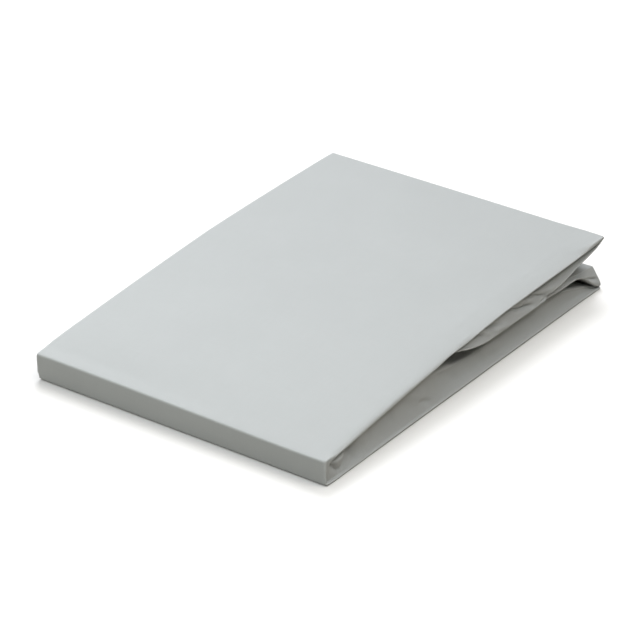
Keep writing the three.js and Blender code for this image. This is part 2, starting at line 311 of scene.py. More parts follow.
# Right and left side folds as places from the fold's outermost line inwards: x in
# millimetres, share of the way from the outer layer to the inner one, and, on the
# right, millimetres added that way.
THIN_ROLL = (
    (-6.4, 0.0, 0.0), (-3.2, 0.0, 0.1), (-1.5, 0.0, 0.45), (-0.4, 0.0, 1.0),
    (0.0, 1.0, -0.8), (-0.15, 1.0, -0.3), (-1.0, 1.0, 0.0), (-4.6, 1.0, 0.0),
)
FULL_ROLL = (
    (-8.6, 0.0, 0.0), (-5.6, 0.0, 0.3), (-3.3, 0.0, 0.75), (-1.4, 0.0, 1.25),
    (-0.2, 1.0, -0.5), (-0.15, 1.0, -0.15), (-1.2, 1.0, 0.0), (-4.6, 1.0, 0.0),
)
PINCHED_ROLL = (
    (-5.6, 0.0, 0.0), (-1.4, 0.0, 0.0), (-0.4, 0.0, 0.1), (0.0, 0.0, 0.5),
    (0.0, 1.0, -0.8), (-0.05, 1.0, -0.35), (-0.9, 1.0, 0.0), (-4.6, 1.0, 0.0),
)
LEFT_FOLD = (
    (2.4, 0.0), (0.4, 0.0), (0.05, 0.15), (0.0, 0.5), (0.05, 0.85), (0.4, 1.0), (2.4, 1.0),
)


class Fold(Enum):
    """Which of a section's two side folds."""

    LEFT = "left"
    RIGHT = "right"


@dataclass(frozen=True)
class Crease:
    """Soft ridge or trough placed on the right-hand side of some layers.

    The path's places are millimetres along the side (y) and up it (z). A positive push
    is a ridge that stands out, a negative one a trough. The taper is the share of the
    path over which each end fades.
    """

    layers: tuple[Layer, ...]
    path: tuple[Pair, ...]
    width: float
    push: float
    taper: float = 0.3

    def pushed(self, y: Array, z: Array) -> Array:
        """How far the crease moves the cloth at each place.

        Args:
            y: Places along the side.
            z: Heights of the same places.

        Returns:
            The push at each place, in millimetres outwards.
        """
        points = np.array(self.path, float)
        moves = np.diff(points, axis=0)
        lengths = np.linalg.norm(moves, axis=1)
        nearest = np.full(y.shape, np.inf)
        run = np.zeros(y.shape)
        walked = 0.0
        for (from_y, from_z), (along, up), length in zip(points, moves, lengths):
            share = np.clip(((y - from_y) * along + (z - from_z) * up) / length**2, 0.0, 1.0)
            away = np.hypot(y - from_y - share * along, z - from_z - share * up)
            run = np.where(away < nearest, walked + share * length, run)
            nearest = np.minimum(nearest, away)
            walked += length
        fade = self.taper * walked
        ends = smooth(run / fade) * smooth((walked - run) / fade)
        return self.push * ends * np.exp(-((nearest / self.width) ** 2))


@dataclass
class Station:
    """One section across the cloth's path.

    The right fold is a table of places: x, share of the way from the outer layer to
    the inner one, and millimetres added that way.
    """

    layer: Layer
    outer: Callable[[Array], Array]
    inner: Callable[[Array], Array]
    right: Array
    left_out: float


def spline(controls: Array, fine: int) -> Array:
    """Smooth curve through control places, each span drawn in fine steps.

    Args:
        controls: The places, one row each.
        fine: Steps in each span.

    Returns:
        The curve's points, one row each.
    """
    before = 2 * controls[0] - controls[1]
    after = 2 * controls[-1] - controls[-2]
    padded = np.vstack([before, controls, after])
    points = []
    for i in range(1, len(padded) - 2):
        a, b, c, d = padded[i - 1 : i + 3]
        k = (np.arange(fine) / fine)[:, None]
        points.append(
            0.5 * (2 * b + (c - a) * k + (2 * a - 5 * b + 4 * c - d) * k**2
                   + (3 * b - a - 3 * c + d) * k**3)
        )
    points.append(controls[-1:])
    return np.vstack(points)


def even_points(curve: Array, steps: int, bend_weight: float) -> Array:
    """Points along a curve, closer together where it bends.

    Args:
        curve: Fine points of the curve.
        steps: How many steps to cut it into.
        bend_weight: Length that one radian of bend counts for.

    Returns:
        steps + 1 points.
    """
    moves = np.diff(curve, axis=0)
    lengths = np.linalg.norm(moves, axis=1)
    angles = np.unwrap(np.arctan2(moves[:, 1], moves[:, 0]))
    bends = np.abs(np.diff(angles, prepend=angles[0]))
    walked = np.concatenate([[0.0], np.cumsum(lengths + bend_weight * bends)])
    goals = np.linspace(0.0, walked[-1], steps + 1)
    return np.stack([np.interp(goals, walked, curve[:, i]) for i in range(2)], axis=1)


@dataclass
class FoldedCloth:
    """The pillowcase's cloth, folded in thirds across and in four lengthways.

    Steps say how finely each stretch is cut. A fold is also cut finer where it bends.
    Stops are the places across the pack of the middle layer, which is hidden, and of
    the inner one, each ending at that layer's free edge. Powers say how square a bend
    is, from 2 for round; a nose has one power inside the pack and one on its right side.
    """

    sizes: PackSizes = field(default_factory=PackSizes)
    heights: Heights = field(default_factory=Heights)
    creases: Sequence[Crease] = ()
    row_gap: float = 1.7
    spine_steps: int = 40
    spine_bend_weight: float = 3.0
    nose_steps: int = 16
    left_steps: int = 8
    right_steps: int = 40
    outer_stops: int = 24
    outer_span: Pair = (6.0, 157.5)
    middle_stops: tuple[float, ...] = (138.0, 95.0, 45.0, 12.0)
    inner_stops: tuple[float, ...] = (157.0, 151.0, 145.0, 138.0, 95.0, 45.0, 3.0)
    gap_place: float = 164.0
    spine_top_power: float = 16.0
    spine_foot_power: float = 26.0
    spine_inner_power: float = 2.3
    low_nose_powers: Pair = (2.6, 2.6)
    top_nose_upper_powers: Pair = (14.0, 14.0)
    top_nose_under_powers: Pair = (2.2, 1.05)
    inner_nose_powers: Pair = (2.0, 2.0)
    nose_tip_level: float = 0.5
    pinched_tip_level: float = 0.16

    def edge_share(self, x: Number) -> Number:
        """Share of the right side's shape at a place across the pack."""
        sizes = self.sizes
        return smooth((x - sizes.edge_start) / (sizes.edge_full - sizes.edge_start))

    def top_height(self, x: Number, y: float) -> Number:
        """Height of the top face.

        Args:
            x: Place across the pack, a number or an array.
            y: Place along the pack.

        Returns:
            The height there.
        """
        k = np.clip(np.asarray(x, float) / self.sizes.width, 0.0, 1.0)
        left = self.heights.top_left(y) * (1 - k) * (1 - 2 * k)
        middle = self.heights.top_middle(y) * 4 * k * (1 - k)
        right = self.heights.top_right(y) * k * (2 * k - 1)
        return left + middle + right

    def lower_packet(self, x: Number, y: float) -> Number:
        """Height of the top of the lower turned-in end."""
        sizes = self.sizes
        far = (y - sizes.lower_end) / (sizes.length - sizes.lower_end)
        edge = self.heights.lower_top(self.turned_in(y))
        return lerp(lerp(*sizes.lower_inside, far), edge, self.edge_share(x))

    def upper_packet(self, x: Number, y: float) -> Number:
        """Height of the underside of the upper turned-in end."""
        inside = self.top_height(x, y) - self.sizes.packet_depth
        return lerp(inside, self.heights.upper_under(y), self.edge_share(x))

    def stretched(self, y: float) -> float:
        """Place along the right side of a lower row, drawn out towards the far corner."""
        return y + self.sizes.far_stretch * self.heights.far_stretches(y)

    def row_places(self, x: Array, y: float, edge_y: float) -> Array:
        """Places along the pack of a row that ends at edge_y on the right side."""
        return lerp(np.full_like(x, y), edge_y, self.edge_share(x))

    def turned_in(self, y: float) -> float:
        """Place along the right side of a row of the lower end, whose edge slants."""
        sizes = self.sizes
        straightens = Change(sizes.lower_end, 3.0 * sizes.lower_slant)
        return self.stretched(y) + sizes.lower_slant * (1.0 - straightens(y))

    def top_station(self, y: float) -> Station:
        """Section of the top panel.

        Args:
            y: Place along the pack.

        Returns:
            The section, outer layer uppermost.
        """
        sizes = self.sizes

        def outer(x: Array) -> Array:
            """Middle of the top layer."""
            return np.stack([np.full_like(x, y), self.top_height(x, y) - sizes.half], axis=1)

        def inner(x: Array) -> Array:
            """Middle of the panel's lowest layer."""
            inside = self.top_height(x, y) - sizes.inner_depth
            edge = self.heights.roll_under(y) + sizes.half
            return np.stack([np.full_like(x, y), lerp(inside, edge, self.edge_share(x))], axis=1)

        roll = lerp(np.array(THIN_ROLL), np.array(FULL_ROLL), self.heights.roll_fills(y))
        right = lerp(roll, np.array(PINCHED_ROLL), self.heights.roll_pinches(y))
        widened = sizes.width + sizes.far_widening * self.heights.far_widens(y)
        right[:, 0] += widened - sizes.half
        return Station(Layer.TOP, outer, inner, right, self.heights.top_left_out(y))

    def base_station(self, y: float) -> Station:
        """Section of the bottom panel, whose right side stands up as a wall.

        Args:
            y: Place along the pack.

        Returns:
            The section, outer layer underneath.
        """
        sizes = self.sizes
        edge_y = self.stretched(y)
        top = self.heights.wall_top(edge_y)

        def outer(x: Array) -> Array:
            """Middle of the layer on the ground."""
            return np.stack([self.row_places(x, y, edge_y), np.full_like(x, sizes.half)], axis=1)

        def inner(x: Array) -> Array:
            """Middle of the panel's uppermost layer."""
            level = lerp(sizes.inner_depth, top - sizes.half, self.edge_share(x))
            return np.stack([self.row_places(x, y, edge_y), level], axis=1)

        foot = sizes.width + sizes.foot_out - sizes.half
        head = self.heights.wall_reach(edge_y) - sizes.half
        small = min(1.0, (top - sizes.cloth) / sizes.full_wall)
        bend = self.heights.wall_round(edge_y) * small
        lip = self.heights.lip_rise(edge_y) * small
        right = np.array([
            (foot - 6.0, 0.0, 0.0),
            (foot - 1.6, 0.0, 0.25 * lip),
            (foot, 0.0, lip),
            (foot - 1.1 * small, 0.0, lip + small),
            (lerp(foot, head, 0.60), 0.34, 0.0),
            (lerp(foot, head, 0.95), 0.68, 0.0),
            (head - 0.25 * bend, 1.0, -0.9 * bend),
            (head - 1.5 - 1.6 * bend, 1.0, 0.0),
        ])
        return Station(Layer.BASE, outer, inner, right, 0.0)

    def lower_station(self, y: float) -> Station:
        """Section of the lower turned-in end.

        Args:
            y: Place along the pack.

        Returns:
            The section, outer layer uppermost.
        """
        sizes = self.sizes
        edge_y = self.turned_in(y)

        def outer(x: Array) -> Array:
            """Middle of the upper layer."""
            level = self.lower_packet(x, y) - sizes.half
            return np.stack([self.row_places(x, y, edge_y), level], axis=1)

        def inner(x: Array) -> Array:
            """Middle of the lowest layer."""
            inside = self.lower_packet(np.zeros_like(x), y) - sizes.inner_depth
            edge = self.heights.lower_under(edge_y) + sizes.half
            level = lerp(inside, edge, self.edge_share(x))
            return np.stack([self.row_places(x, y, edge_y), level], axis=1)

        ridge = self.heights.lower_ridge(edge_y) - sizes.half
        lip = self.heights.lower_reach(edge_y) - sizes.half
        right = np.array([
            (ridge - 3.4, 0.0, 0.0), (ridge - 0.6, 0.0, 0.0), (ridge, 0.0, 0.25),
            (lerp(ridge, lip, 0.35), 0.34, 0.0), (lerp(ridge, lip, 0.8), 0.70, 0.0),
            (lip, 1.0, -0.35), (lip - 0.5, 1.0, 0.0), (lip - 3.6, 1.0, 0.0),
        ])
        return Station(Layer.LOWER_END, outer, inner, right, 0.3)

    def upper_station(self, y: float) -> Station:
        """Section of the upper turned-in end, whose side hangs down as a band.

        Args:
            y: Place along the pack.

        Returns:
            The section, outer layer underneath.
        """
        sizes = self.sizes

        def outer(x: Array) -> Array:
            """Middle of the lowest layer."""
            return np.stack([np.full_like(x, y), self.upper_packet(x, y) + sizes.half], axis=1)

        edge = self.heights.roll_under(y) - sizes.roll_gap - sizes.half

        def inner(x: Array) -> Array:
            """Middle of the uppermost layer."""
            inside = self.top_height(x, y) - sizes.packet_depth + sizes.inner_depth
            return np.stack([np.full_like(x, y), lerp(inside, edge, self.edge_share(x))], axis=1)

        under = self.heights.upper_under(y) + sizes.half
        rise = edge - under
        lip = self.heights.band_reach(y) - sizes.half
        low = (self.heights.band_low(y) + sizes.half - under) / rise
        lean = lerp(1.0, 1.45, self.heights.band_leans(y))
        right = np.array([
            (lip - 5.0, 0.0, 0.0),
            (lip - 2.4, lerp(0.0, low, 0.7), 0.0),
            (lip - 0.4, low, 0.0),
            (lip, low, 0.25),
            (lip - 0.8 * lean, lerp(low, 1.0, 0.25), 0.0),
            (lip - 2.3 * lean, lerp(low, 1.0, 0.70), 0.0),
            (lip - 3.4 * lean, 0.97, 0.0),
            (lip - 6.0 * lean, 1.0, 0.0),
        ])
        return Station(Layer.UPPER_END, outer, inner, right, 0.3)

    def spine_angle(self, k: float) -> float:
        """Angle round the spine at an even share of its length.

        Args:
            k: Share of the way from the top panel to the bottom one.

        Returns:
            The angle, from +90 degrees down to -90, in radians.
        """
        sizes = self.sizes
        angles = np.pi * (0.5 - np.linspace(0.0, 1.0, 4001))
        places = np.array([
            rounded_arc(angle, self.spine_top_power if angle > 0 else self.spine_foot_power)
            for angle in angles
        ])
        places *= (sizes.spine_run, self.heights.spine_top(sizes.width / 2.0) / 2.0)
        moves = np.diff(places, axis=0)
        headings = np.unwrap(np.arctan2(moves[:, 1], moves[:, 0]))
        turns = np.abs(np.diff(headings, prepend=0.0))
        turns[0] = 0.0
        weighed = np.linalg.norm(moves, axis=1) + self.spine_bend_weight * turns
        walked = np.concatenate([[0.0], np.cumsum(weighed)])
        return float(np.interp(k * walked[-1], walked, angles))

    def spine_station(self, k: float) -> Station:
        """Section round the spine: squarish outside, rounder inside.

        Args:
            k: Share of the way from the top panel to the bottom one.

        Returns:
            The section.
        """
        sizes = self.sizes
        angle = self.spine_angle(k)
        top = self.top_station(sizes.near_row)
        base = self.base_station(sizes.near_row)

        def bend(start: Array, end: Array, tip: Number, power: float) -> Array:
            """Arc from start to end that reaches tip at its middle."""
            out, up = rounded_arc(angle, power)
            middle = (start[:, 1] + end[:, 1]) / 2.0
            half = (start[:, 1] - end[:, 1]) / 2.0
            far = lerp(sizes.spine_run, tip, out) + np.zeros_like(middle)
            return np.stack([far, middle + half * up], axis=1)

        power = self.spine_top_power if k < 0.5 else self.spine_foot_power

        def outer(x: Array) -> Array:
            """Middle of the spine's outside layer."""
            heights = np.array([self.heights.spine_top(v) for v in x])
            crown = self.top_height(x, sizes.near_row) - heights
            start = np.stack([np.full_like(x, sizes.spine_run), heights - sizes.half], axis=1)
            end = base.outer(x)
            place = bend(start, end, sizes.half - sizes.spine_out, power)
            up = smooth((place[:, 1] - sizes.half) / (start[:, 1] - sizes.half))
            run = np.maximum(place[:, 0] / sizes.spine_run, 0.0)
            place[:, 1] += crown * run * up
            place[:, 1] += sizes.spine_lift * (1.0 - run) * (1.0 - up)
            return place

        def inner(x: Array) -> Array:
            """Middle of the spine's inside layer."""
            edge_tip = sizes.spine_run - sizes.spine_inner_depth
            tip = lerp(sizes.inner_depth, edge_tip, self.edge_share(x))
            return bend(top.inner(x), base.inner(x), tip, self.spine_inner_power)

        right = lerp(top.right, base.right, float(smooth(k)))
        return Station(Layer.SPINE, outer, inner, right, self.heights.spine_left_out(k))

    def nose_station(self, layer: Layer, start: Station, end: Station, k: float) -> Station:
        """Section round a far bend.

        Args:
            layer: Which far bend.
            start: Last section before the bend.
            end: First section after it.
            k: Share of the way round.

        Returns:
            The section.
        """
        sizes = self.sizes
        angle = math.pi * (0.5 - k)
        low = layer is Layer.LOW_NOSE
        reach = sizes.low_nose_reach if low else sizes.top_nose_reach
        if low:
            outer_powers = self.low_nose_powers
        elif angle > 0:
            outer_powers = self.top_nose_upper_powers
        else:
            outer_powers = self.top_nose_under_powers

        def bend(
            a: Array, b: Array, tip: Number, high: Array, share: Array, powers: Pair
        ) -> Array:
            """Arc from a to b that reaches tip at the height high."""
            inside, edge = powers
            places = []
            for i, part in enumerate(share):
                out, up = rounded_arc(angle, lerp(inside, edge, part))
                towards = a[i, 1] if up > 0 else b[i, 1]
                far = tip[i] if np.ndim(tip) else tip
                places.append((lerp(a[i, 0], far, out), lerp(high[i], towards, abs(up))))
            return np.array(places)

        def outer(x: Array) -> Array:
            """Middle of the bend's outside layer."""
            a, b, share = start.outer(x), end.outer(x), self.edge_share(x)
            edge_level = self.nose_tip_level if low else self.pinched_tip_level
            high = lerp(a[:, 1], b[:, 1], lerp(self.nose_tip_level, edge_level, share))
            return bend(a, b, sizes.length - sizes.half, high, share, outer_powers)

        def inner(x: Array) -> Array:
            """Middle of the bend's inside layer."""
            a, b, share = start.inner(x), end.inner(x), self.edge_share(x)
            tip = sizes.length - sizes.half - lerp(2 * sizes.pitch, reach, share)
            return bend(a, b, tip, (a[:, 1] + b[:, 1]) / 2.0, share, self.inner_nose_powers)

        bow = k * k if low else k
        right = lerp(start.right, end.right, bow)
        return Station(layer, outer, inner, right, lerp(start.left_out, end.left_out, k))

    def rows(self, start: float, end: float) -> list[float]:
        """Places along the pack, evenly spaced from start to end."""
        count = max(2, round((end - start) / self.row_gap))
        return list(np.linspace(start, end, count + 1))

    def stations(self) -> list[Station]:
        """Sections in order along the cloth.

        Returns:
            Sections from the upper turned-in edge to the lower turned-in edge.
        """
        sizes = self.sizes
        upper = [self.upper_station(y) for y in self.rows(sizes.upper_end, sizes.far_row)]
        panel = self.rows(sizes.near_row, sizes.far_row)
        top = [self.top_station(y) for y in reversed(panel)]
        base = [self.base_station(y) for y in panel]
        lower_rows = self.rows(sizes.lower_end, sizes.far_row)
        lower = [self.lower_station(y) for y in reversed(lower_rows)]

        def shares(steps: int) -> list[float]:
            """Shares of the way round a bend, without its two ends."""
            return [i / (steps + 1) for i in range(1, steps + 1)]

        round_nose = [1 - k for k in shares(self.nose_steps)]
        top_nose = [self.nose_station(Layer.TOP_NOSE, top[0], upper[-1], k) for k in round_nose]
        low_nose = [self.nose_station(Layer.LOW_NOSE, lower[0], base[-1], k) for k in round_nose]
        spine = [self.spine_station(k) for k in shares(self.spine_steps)]
        return [*upper, *top_nose, *top, *spine, *base, *low_nose, *lower]

    def fold_line(self, station: Station, side: Fold) -> Array:
        """Points round one side fold.

        Args:
            station: The section.
            side: Left or right fold.

        Returns:
            Points from the outer layer to the next one, as rows of x, y and z.
        """
        if side is Fold.RIGHT:
            at_edge = np.array([self.gap_place])
            gap = float(np.linalg.norm(station.inner(at_edge) - station.outer(at_edge)))
            share = station.right[:, 1] + station.right[:, 2] / gap
            controls = np.column_stack([station.right[:, 0], share * gap])
            shape = even_points(spline(controls, 14), self.right_steps, 1.0)
            shape[:, 1] /= gap
        else:
            controls = np.array(LEFT_FOLD)
            controls[:, 0] += station.left_out + self.sizes.half
            shape = even_points(spline(controls, 10), self.left_steps, 1.0)
        x = shape[:, 0]
        held = np.maximum(x, 0.0)
        start = station.outer(held)
        end = station.inner(held)
        if side is Fold.LEFT:
            end = (start + end) / 2.0
        return np.column_stack([x, lerp(start, end, shape[:, 1:2])])

    def section_line(self, station: Station) -> Array:
        """The cloth's middle surface at one section.

        Args:
            station: The section.

        Returns:
            Points from the hidden middle layer's edge, round the left fold, across the
            outer layer, round the right fold, to the inner layer's edge.
        """
        hidden = np.array(self.middle_stops)
        across = np.linspace(*self.outer_span, self.outer_stops)
        back = np.array(self.inner_stops)
        between = (station.outer(hidden) + station.inner(hidden)) / 2.0
        left = self.fold_line(station, Fold.LEFT)[::-1]
        right = self.fold_line(station, Fold.RIGHT)
        return np.vstack([
            np.column_stack([hidden, between]),
            left,
            np.column_stack([across, station.outer(across)]),
            right,
            np.column_stack([back, station.inner(back)]),
        ])

    def pressed(self, grid: Array, layers: list[Layer]) -> Array:
        """The grid with its creases pushed in or out.

        Args:
            grid: Middle surface, station by station.
            layers: Layer of each station.

        Returns:
            The same grid, changed near the right-hand side.
        """
        first = len(self.middle_stops) + self.left_steps + 1 + self.outer_stops
        last = first + self.right_steps + 1
        side = grid[:, first:last]
        for crease in self.creases:
            mask = np.array([layer in crease.layers for layer in layers])[:, None]
            side[..., 0] += np.where(mask, crease.pushed(side[..., 1], side[..., 2]), 0.0)
        return grid

    def build(self, corner: Vector) -> bpy.types.Object:
        """Builds the closed mesh of the cloth.

        Args:
            corner: Where the pack's working corner stands, in metres.

        Returns:
            The new object, with its UV map in metres of flat cloth.
        """
        stations = self.stations()
        layers = [station.layer for station in stations]
        grid = np.array([self.section_line(station) for station in stations])
        grid = self.pressed(grid, layers)
        return make_sheet("pillowcase_cloth", grid, self.sizes.cloth, corner)


def grid_normals(grid: Array) -> Array:
    """Normals of a grid of points.

    Args:
        grid: Points, station by station.

    Returns:
        Unit normals, one for each point.
    """
    along = np.gradient(grid, axis=0)
    across = np.gradient(grid, axis=1)
    normals = np.cross(along, across)
    return normals / np.linalg.norm(normals, axis=2, keepdims=True)


def grid_bends(grid: Array, normals: Array) -> Array:
    """How sharply a grid of points bends, outwards as its normals point.

    Args:
        grid: Points, station by station.
        normals: Their unit normals.

    Returns:
        The larger of the two bends at each point, in radians for each millimetre.
    """
    bends = np.zeros(grid.shape[:2])
    for axis in (0, 1):
        moves = np.gradient(grid, axis=axis)
        turns = np.gradient(normals, axis=axis)
        bend = np.sum(moves * turns, axis=2) / np.maximum(np.sum(moves * moves, axis=2), 1e-6)
        bends = np.where(np.abs(bend) > np.abs(bends), bend, bends)
    return bends


def make_sheet(name: str, grid: Array, thickness: float, corner: Vector) -> bpy.types.Object:
    """Thickens a grid of points into one closed sheet.

    Args:
        name: Name of the piece.
        grid: Middle surface in millimetres, station by station.
        thickness: Thickness in millimetres.
        corner: Where the working corner stands, in metres.

    Returns:
        The new object.
    """
    rows, cols = grid.shape[:2]
    normals = grid_normals(grid)
    bends = grid_bends(grid, normals)
    faces_at = [grid + normals * (thickness / 2), grid - normals * (thickness / 2)]
    places = np.concatenate([side.reshape(-1, 3) for side in faces_at])
    places[:, 2] = np.maximum(places[:, 2], 0.0)
    places = places * MM + np.array(corner)
    index = np.arange(rows * cols).reshape(rows, cols)
    back = index + rows * cols

    def quads(a: Array, b: Array, c: Array, d: Array) -> Array:
        """Stacks four corners into faces."""
        return np.stack([a, b, c, d], axis=-1).reshape(-1, 4)

    faces = np.concatenate([
        quads(index[:-1, :-1], index[1:, :-1], index[1:, 1:], index[:-1, 1:]),
        quads(back[:-1, :-1], back[:-1, 1:], back[1:, 1:], back[1:, :-1]),
        quads(index[:-1, 0], back[:-1, 0], back[1:, 0], index[1:, 0]),
        quads(index[:-1, -1], index[1:, -1], back[1:, -1], back[:-1, -1]),
        quads(index[0, :-1], index[0, 1:], back[0, 1:], back[0, :-1]),
        quads(index[-1, :-1], back[-1, :-1], back[-1, 1:], index[-1, 1:]),
    ])
    mesh = bpy.data.meshes.new(name)
    mesh.from_pydata(places.tolist(), [], faces.tolist())
    across = np.linalg.norm(np.diff(grid, axis=1), axis=2).mean(axis=0)
    u = np.concatenate([[0.0], np.cumsum(across)])
    along = np.linalg.norm(np.diff(grid, axis=0), axis=2)[:, cols // 3]
    v = np.concatenate([[0.0], np.cumsum(along)])
    flat = np.stack(np.meshgrid(u, v), axis=-1).reshape(-1, 2) * MM
    flat = np.concatenate([flat, flat])
    layer = mesh.uv_layers.new(name=FLAT_CLOTH)
    loops = np.zeros(len(mesh.loops), dtype=np.int32)
    mesh.loops.foreach_get("vertex_index", loops)
    layer.data.foreach_set("uv", flat[loops].astype(np.float32).ravel())
    # Share of a sharp bend at each point: the colour is lighter and the roughness lower there.
    sharp_share = np.concatenate([bends.ravel(), -bends.ravel()])
    sharp_share = smooth((sharp_share - SHARP_BEND[0]) / (SHARP_BEND[1] - SHARP_BEND[0]))
    edge = mesh.attributes.new(FOLD_EDGE, "FLOAT", "POINT")
    edge.data.foreach_set("value", sharp_share.astype(np.float32))
    mesh.polygons.foreach_set("use_smooth", np.ones(len(mesh.polygons), dtype=bool))
    mesh.update()
    piece = bpy.data.objects.new(name, mesh)
    bpy.context.scene.collection.objects.link(piece)
    return piece


@dataclass(frozen=True)
class Lamp:
    """Soft round light aimed at the pack, in metres and watts."""

    name: str
    place: Triple
    size: float
    power: float
    colour: Triple

    def hang(self) -> None:
        """Adds the light to the scene."""
        data = bpy.data.lights.new(self.name, "AREA")
        data.shape = "DISK"
        data.size = self.size
        data.energy = self.power
        data.color = self.colour
        lamp = bpy.data.objects.new(self.name, data)
        lamp.location = self.place
        lamp.rotation_euler = (-Vector(self.place)).to_track_quat("-Z", "Y").to_euler()
        bpy.context.scene.collection.objects.link(lamp)


@dataclass(frozen=True)
class StudioSizes:
    """Camera, floor, lights and room, in metres, degrees and millimetres of lens."""

    azimuth: float = 35.77
    elevation: float = 27.82
    camera_place: Triple = (0.6763, -0.9469, 0.6203)
    lens: float = 150.0
    sensor: float = 36.0
    floor_side: float = 6.0
    floor_colour: Colour = (0.81, 0.81, 0.81, 1.0)
    floor_glow: Colour = (0.42, 0.39, 0.34, 1.0)
    floor_roughness: float = 0.95
    room_colour: Colour = (1.0, 0.95, 0.85, 1.0)
    room_strength: float = 0.01
    lamps: tuple[Lamp, ...] = (
        Lamp("overhead", (0.0, 0.15, 1.3), 2.8, 31.9, (0.99, 0.99, 0.985)),
        Lamp("behind left", (-0.7, 0.8, 1.2), 0.8, 14.6, (0.94, 0.95, 0.99)),
        Lamp("front", (0.1, -1.1, 0.6), 0.6, 3.6, (0.95, 1.0, 0.97)),
        Lamp("right", (0.9, 0.3, 1.2), 0.4, 4.2, (1.0, 0.93, 0.80)),
    )


class Studio:
    """Plain pale floor, soft lights and the camera."""

    def __init__(self, sizes: StudioSizes) -> None:
        """Keeps the sizes.

        Args:
            sizes: Camera, floor and light sizes.
        """
        self.sizes = sizes

    def camera(self) -> None:
        """Sets the camera at the photograph's viewing angle."""
        sizes = self.sizes
        azimuth = math.radians(sizes.azimuth)
        elevation = math.radians(sizes.elevation)
        data = bpy.data.cameras.new("camera")
        data.lens = sizes.lens
        data.sensor_width = sizes.sensor
        camera = bpy.data.objects.new("camera", data)
        camera.location = sizes.camera_place
        camera.rotation_euler = (math.pi / 2 - elevation, 0.0, azimuth)
        bpy.context.scene.collection.objects.link(camera)
        bpy.context.scene.camera = camera

    def floor(self) -> None:
        """Lays the floor, pale to the camera and darker in the light it throws back."""
        sizes = self.sizes
        side = sizes.floor_side / 2.0
        mesh = bpy.data.meshes.new("floor")
        corners = [(-side, -side, 0), (side, -side, 0), (side, side, 0), (-side, side, 0)]
        mesh.from_pydata(corners, [], [(0, 1, 2, 3)])
        floor = bpy.data.objects.new("floor", mesh)
        bpy.context.scene.collection.objects.link(floor)
        material = bpy.data.materials.new("floor")
        material.use_nodes = True
        nodes, links = material.node_tree.nodes, material.node_tree.links
        seen = nodes["Principled BSDF"]
        seen.inputs["Base Color"].default_value = sizes.floor_colour
        seen.inputs["Roughness"].default_value = sizes.floor_roughness
        seen.inputs["Specular IOR Level"].default_value = 0.0
        glow = nodes.new("ShaderNodeBsdfDiffuse")
        glow.inputs["Color"].default_value = sizes.floor_glow
        path = nodes.new("ShaderNodeLightPath")
        mix = nodes.new("ShaderNodeMixShader")
        links.new(path.outputs["Is Camera Ray"], mix.inputs["Fac"])
        links.new(glow.outputs["BSDF"], mix.inputs[1])
        links.new(seen.outputs["BSDF"], mix.inputs[2])
        links.new(mix.outputs["Shader"], nodes["Material Output"].inputs["Surface"])
        mesh.materials.append(material)

    def lights(self) -> None:
        """Adds the lights and the weak fill of the room."""
        for lamp in self.sizes.lamps:
            lamp.hang()
        world = bpy.data.worlds.new("room")
        world.use_nodes = True
        back = world.node_tree.nodes["Background"]
        back.inputs["Color"].default_value = self.sizes.room_colour
        back.inputs["Strength"].default_value = self.sizes.room_strength
        bpy.context.scene.world = world
        bpy.context.scene.view_settings.view_transform = "Standard"


Fed = bpy.types.NodeSocket | float | Sequence[float]


class Sockets:
    """Small helper that makes nodes and joins their sockets."""

    def __init__(self, tree: bpy.types.NodeTree) -> None:
        """Keeps the tree.

        Args:
            tree: The tree that the nodes go into.
        """
        self.tree = tree

    def node(self, kind: str, **settings: object) -> bpy.types.Node:
        """Makes a node of a kind and sets its properties."""
        node = self.tree.nodes.new(kind)
        for name, value in settings.items():
            setattr(node, name, value)
        return node

    def feed(self, socket: bpy.types.NodeSocket, value: Fed) -> None:
        """Links a socket to another one, or sets it to a plain value.

        Args:
            socket: The input socket.
            value: An output socket, a number, a colour or a vector.
        """
        if isinstance(value, bpy.types.NodeSocket):
            self.tree.links.new(value, socket)
        else:
            socket.default_value = value

    def math(self, operation: str, *values: Fed) -> bpy.types.NodeSocket:
        """Output of a Math node on the values."""
        node = self.node("ShaderNodeMath", operation=operation)
        for socket, value in zip(node.inputs, values):
            self.feed(socket, value)
        return node.outputs[0]

    def mix(self, share: Fed, a: Fed, b: Fed) -> bpy.types.NodeSocket:
        """Number between a and b at a share."""
        node = self.node("ShaderNodeMix", data_type="FLOAT")
        for index, value in ((0, share), (2, a), (3, b)):
            self.feed(node.inputs[index], value)
        return node.outputs[0]

    def noise(self, place: Fed, scale: float, detail: float) -> bpy.types.NodeSocket:
        """Soft noise from 0 to 1 at a place."""
        node = self.node("ShaderNodeTexNoise")
        self.feed(node.inputs["Vector"], place)
        node.inputs["Scale"].default_value = scale
        node.inputs["Detail"].default_value = detail
        return node.outputs["Fac"]


def new_group(
    name: str, inputs: Sequence[tuple[str, str]], outputs: Sequence[tuple[str, str]]
) -> bpy.types.NodeTree:
    """Makes an empty shader node group with named sockets.

    Args:
        name: Name of the group.
        inputs: (name, socket type) of each input.
        outputs: (name, socket type) of each output.

    Returns:
        The group's tree.
    """
    tree = bpy.data.node_groups.new(name, "ShaderNodeTree")
    for label, kind in inputs:
        tree.interface.new_socket(name=label, in_out="INPUT", socket_type=kind)
    for label, kind in outputs:
        tree.interface.new_socket(name=label, in_out="OUTPUT", socket_type=kind)
    return tree


# Thread tone: how slowly it changes along a thread, and its noise, in threads.
ALONG_THREAD = 0.03
THREAD_NOISE = 0.9

# Patches of the dye: noise for each metre, and its detail.
PATCH_NOISE = 28.0
PATCH_DETAIL = 3.0

# Roughness of flat cloth, and how much smoother a worn bend is.
COTTON_ROUGHNESS = 0.92
WORN_SMOOTHNESS = 0.08


